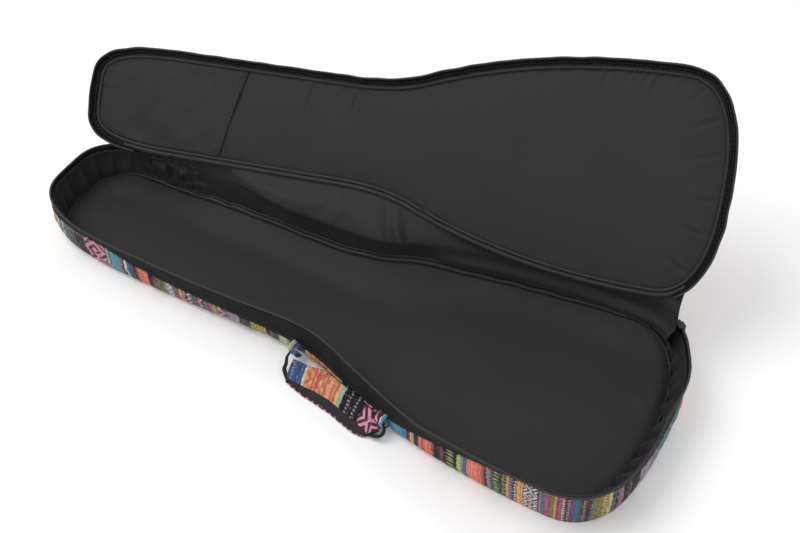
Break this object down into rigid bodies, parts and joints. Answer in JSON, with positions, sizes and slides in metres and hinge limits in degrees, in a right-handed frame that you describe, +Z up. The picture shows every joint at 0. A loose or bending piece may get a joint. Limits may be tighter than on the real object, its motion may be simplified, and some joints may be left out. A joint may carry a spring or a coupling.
{
  "type": "ukulele gig bag",
  "caption": "Padded ukulele bag lying open: waisted tray with upright gusset, lid folded back on a cloth hinge, zips, side handle and shoulder straps",
  "frame": {"origin": "on the outer face of the back panel, halfway along the bag and on its middle line", "axes": "+X from the head end to the tail, +Y to the side with the cloth hinge, +Z up and out of the tray"},
  "size_m": [0.6628, 0.3671, 0.2374],
  "materials": {
    "woven_cloth": "heavy woven cloth with a striped folk pattern",
    "black_lining": "smooth black nylon",
    "foam": "soft foam padding",
    "binding": "ribbed bias binding",
    "zip_tape": "woven zip tape",
    "zip_chain": "nylon coil",
    "patch": "coarse woven nylon",
    "webbing": "woven webbing",
    "plastic": "moulded plastic",
    "metal": "dark coated metal"
  },
  "bodies": {
    "tray": {"back_panel": "woven_cloth", "back_padding": "foam", "floor_lining": "black_lining", "floor_binding": "binding", "side_gusset": "woven_cloth", "side_padding": "foam", "side_lining": "black_lining", "lower_zip_tape": "zip_tape", "lower_zip_chain": "zip_chain", "hinge_gusset": "woven_cloth", "hinge_lining": "black_lining", "hinge_web": "black_lining", "handle_anchor_head": "webbing", "handle_anchor_tail": "webbing", "strap_yoke": "webbing", "strap_pad_left": "webbing", "strap_pad_right": "webbing", "strap_webbing_left": "webbing", "strap_webbing_right": "webbing", "strap_buckle_left": "plastic", "strap_buckle_right": "plastic"},
    "lid": {"lid_lining": "black_lining", "lid_padding": "foam", "lid_panel": "woven_cloth", "lid_binding": "binding", "upper_zip_tape": "zip_tape", "upper_zip_chain": "zip_chain", "headstock_patch": "patch", "pocket_panel": "woven_cloth", "pocket_zip_tape": "zip_tape", "pocket_zip_chain": "zip_chain"},
    "handle": {"handle_grip": "woven_cloth", "handle_webbing": "webbing"},
    "head_slider": {"zip_slider_head": "metal"},
    "head_pull": {"pull_tab_head": "metal"},
    "tail_slider": {"zip_slider_tail": "metal"},
    "tail_pull": {"pull_tab_tail": "metal"},
    "pocket_slider": {"pocket_zip_slider": "metal"},
    "pocket_pull": {"pocket_pull_tab": "metal"}
  },
  "joints": [
    {"name": "lid_hinge", "type": "hinge", "parent": "tray", "child": "lid", "pos_m": [0, 0.07275, 0.0754], "axis": [-0.9942, -0.1074, 0], "range_deg": [-131, 49], "deforming": ["hinge_web"]},
    {"name": "handle_swing", "type": "hinge", "parent": "tray", "child": "handle", "pos_m": [0.04594, -0.08581, 0.018], "axis": [-0.9625, 0.2712, 0], "range_deg": [-60, 90]},
    {"name": "head_slider_travel", "type": "slide", "parent": "tray", "child": "head_slider", "axis": [-0.9915, -0.13, 0], "range_m": [0, 0.006]},
    {"name": "head_pull_swing", "type": "hinge", "parent": "head_slider", "child": "head_pull", "pos_m": [-0.27536, 0.06081, 0.05445], "axis": [0.9915, 0.13, 0], "range_deg": [0, 105]},
    {"name": "tail_slider_travel", "type": "slide", "parent": "tray", "child": "tail_slider", "axis": [0.7643, -0.6448, 0], "range_m": [0, 0.002]},
    {"name": "tail_pull_swing", "type": "hinge", "parent": "tail_slider", "child": "tail_pull", "pos_m": [0.30281, 0.10137, 0.05445], "axis": [0.7643, -0.6448, 0], "range_deg": [0, 105]},
    {"name": "pocket_slider_travel", "type": "slide", "parent": "lid", "child": "pocket_slider", "axis": [0.1768, -0.637, -0.7503], "range_m": [0, 0.085]},
    {"name": "pocket_pull_swing", "type": "hinge", "parent": "pocket_slider", "child": "pocket_pull", "pos_m": [-0.01506, 0.15873, 0.15273], "axis": [0.9809, 0.1768, 0.0811], "range_deg": [-41, 109]}
  ]
}
